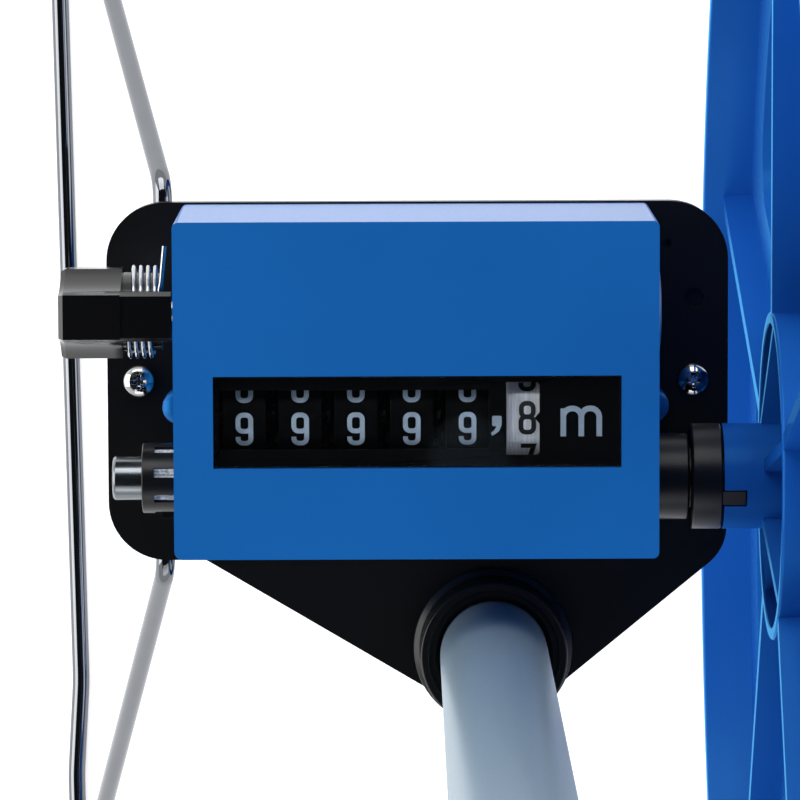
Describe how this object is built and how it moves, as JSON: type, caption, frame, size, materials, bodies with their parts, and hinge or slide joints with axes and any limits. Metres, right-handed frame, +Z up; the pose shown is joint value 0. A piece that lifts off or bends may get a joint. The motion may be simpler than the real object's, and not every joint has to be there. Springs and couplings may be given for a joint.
{
  "type": "measuring wheel",
  "caption": "Walking measuring wheel with a spoked wheel, a roller counter with a reset lever, a telescopic tube handle and a folding wire stand, shown parked on the stand.",
  "frame": {"origin": "bottom centre of the bounding box, on the ground that the tyre and the stand rest on", "axes": "+X along the axle from the counter to the wheel, +Y the way it rolls, +Z up the tube"},
  "size_m": [0.1831, 0.318, 0.8083],
  "materials": {
    "blue_moulding": "gloss",
    "blue_cover": "satin gloss",
    "black_moulding": "semi-gloss",
    "black_paint": "semi-gloss black paint",
    "drum_black": "matt",
    "drum_silver": "silver",
    "chrome": "polished",
    "steel": "zinc plated",
    "tube_silver": "satin anodised",
    "clear": "clear",
    "tyre": "matt",
    "grip_rubber": "matt",
    "white_moulding": "natural acetal"
  },
  "bodies": {
    "frame": {"axle": "chrome", "axle_washer": "chrome", "axle_nut": "chrome", "axle_bush": "black_moulding", "axle_sleeve": "black_moulding", "counter_base": "black_moulding", "mounting_plate": "black_paint", "plate_screw_left": "chrome", "plate_screw_right": "chrome", "cover_screw_left": "chrome", "cover_screw_right": "chrome", "counter_cover": "blue_cover", "counter_window": "clear", "window_mask": "drum_black", "drum_shaft": "steel", "pinion_shaft": "steel", "reset_spring": "steel", "stand_clip": "steel", "tube_socket": "black_moulding", "lower_tube": "tube_silver", "tube_plug": "black_moulding", "socket_bolt": "steel", "collet": "black_moulding"},
    "wheel": {"wheel": "blue_moulding", "tyre": "tyre", "drive_collar": "black_moulding", "drive_gear": "white_moulding"},
    "tenths_drum": {"tenths_drum": "drum_silver", "drum_gear": "white_moulding"},
    "digit_drum_1": {"digit_drum_1": "drum_black"},
    "digit_drum_2": {"digit_drum_2": "drum_black"},
    "digit_drum_3": {"digit_drum_3": "drum_black"},
    "digit_drum_4": {"digit_drum_4": "drum_black"},
    "digit_drum_5": {"digit_drum_5": "drum_black"},
    "transfer_pinion_1": {"transfer_pinion_1": "white_moulding"},
    "transfer_pinion_2": {"transfer_pinion_2": "white_moulding"},
    "transfer_pinion_3": {"transfer_pinion_3": "white_moulding"},
    "transfer_pinion_4": {"transfer_pinion_4": "white_moulding"},
    "transfer_pinion_5": {"transfer_pinion_5": "white_moulding"},
    "reset_lever": {"reset_lever": "black_moulding", "reset_shaft": "steel", "reset_comb": "white_moulding"},
    "stand": {"stand_wire": "chrome"},
    "handle": {"upper_tube": "tube_silver", "tube_guide": "white_moulding", "hand_grip": "grip_rubber", "grip_cap": "black_moulding"},
    "lock_collar": {"lock_collar": "black_moulding"}
  },
  "joints": [
    {"name": "wheel_spin", "type": "hinge", "parent": "frame", "child": "wheel", "pos_m": [0.07155, 0, 0.159], "axis": [1, 0, 0], "continuous": true},
    {"name": "tenths_spin", "type": "hinge", "parent": "frame", "child": "tenths_drum", "pos_m": [0.01395, 0.0142, 0.172], "axis": [1, 0, 0], "continuous": true},
    {"name": "digit_spin_5", "type": "hinge", "parent": "frame", "child": "digit_drum_5", "pos_m": [0.00275, 0.0142, 0.172], "axis": [1, 0, 0], "continuous": true},
    {"name": "digit_spin_4", "type": "hinge", "parent": "frame", "child": "digit_drum_4", "pos_m": [-0.00813, 0.0142, 0.172], "axis": [1, 0, 0], "continuous": true},
    {"name": "digit_spin_3", "type": "hinge", "parent": "frame", "child": "digit_drum_3", "pos_m": [-0.01901, 0.0142, 0.172], "axis": [1, 0, 0], "continuous": true},
    {"name": "digit_spin_2", "type": "hinge", "parent": "frame", "child": "digit_drum_2", "pos_m": [-0.02989, 0.0142, 0.172], "axis": [1, 0, 0], "continuous": true},
    {"name": "digit_spin_1", "type": "hinge", "parent": "frame", "child": "digit_drum_1", "pos_m": [-0.04077, 0.0142, 0.172], "axis": [1, 0, 0], "continuous": true},
    {"name": "pinion_spin_5", "type": "hinge", "parent": "frame", "child": "transfer_pinion_5", "pos_m": [0.00815, 0.02378, 0.16059], "axis": [1, 0, 0], "continuous": true},
    {"name": "pinion_spin_4", "type": "hinge", "parent": "frame", "child": "transfer_pinion_4", "pos_m": [-0.00273, 0.02378, 0.16059], "axis": [1, 0, 0], "continuous": true},
    {"name": "pinion_spin_3", "type": "hinge", "parent": "frame", "child": "transfer_pinion_3", "pos_m": [-0.01361, 0.02378, 0.16059], "axis": [1, 0, 0], "continuous": true},
    {"name": "pinion_spin_2", "type": "hinge", "parent": "frame", "child": "transfer_pinion_2", "pos_m": [-0.02449, 0.02378, 0.16059], "axis": [1, 0, 0], "continuous": true},
    {"name": "pinion_spin_1", "type": "hinge", "parent": "frame", "child": "transfer_pinion_1", "pos_m": [-0.03537, 0.02378, 0.16059], "axis": [1, 0, 0], "continuous": true},
    {"name": "reset_press", "type": "hinge", "parent": "frame", "child": "reset_lever", "pos_m": [-0.06005, 0.0339, 0.163], "axis": [1, 0, 0], "range_deg": [0, 50], "stiffness_Nm_per_rad": 0.05, "springref_deg": -17.19},
    {"name": "stand_fold", "type": "hinge", "parent": "frame", "child": "stand", "pos_m": [-0.05905, 0.0175, 0.1309], "axis": [0, 1, 0], "range_deg": [0, 150]},
    {"name": "handle_extend", "type": "slide", "parent": "frame", "child": "handle", "axis": [0, 0, 1], "range_m": [0, 0.33]},
    {"name": "lock_turn", "type": "hinge", "parent": "frame", "child": "lock_collar", "pos_m": [0.00855, -0.0379, 0.637], "axis": [0, 0, 1], "range_deg": [0, 90]}
  ],
  "couplings": [
    {"joint": "tenths_spin", "follows": "wheel_spin", "ratio": -1},
    {"joint": "digit_spin_5", "follows": "wheel_spin", "ratio": -0.1},
    {"joint": "digit_spin_4", "follows": "wheel_spin", "ratio": -0.01},
    {"joint": "digit_spin_3", "follows": "wheel_spin", "ratio": -0.001},
    {"joint": "digit_spin_2", "follows": "wheel_spin", "ratio": -0.0001},
    {"joint": "digit_spin_1", "follows": "wheel_spin", "ratio": -0.00001},
    {"joint": "pinion_spin_5", "follows": "wheel_spin", "ratio": 0.25},
    {"joint": "pinion_spin_4", "follows": "wheel_spin", "ratio": 0.025},
    {"joint": "pinion_spin_3", "follows": "wheel_spin", "ratio": 0.0025},
    {"joint": "pinion_spin_2", "follows": "wheel_spin", "ratio": 0.00025},
    {"joint": "pinion_spin_1", "follows": "wheel_spin", "ratio": 0.000025}
  ]
}
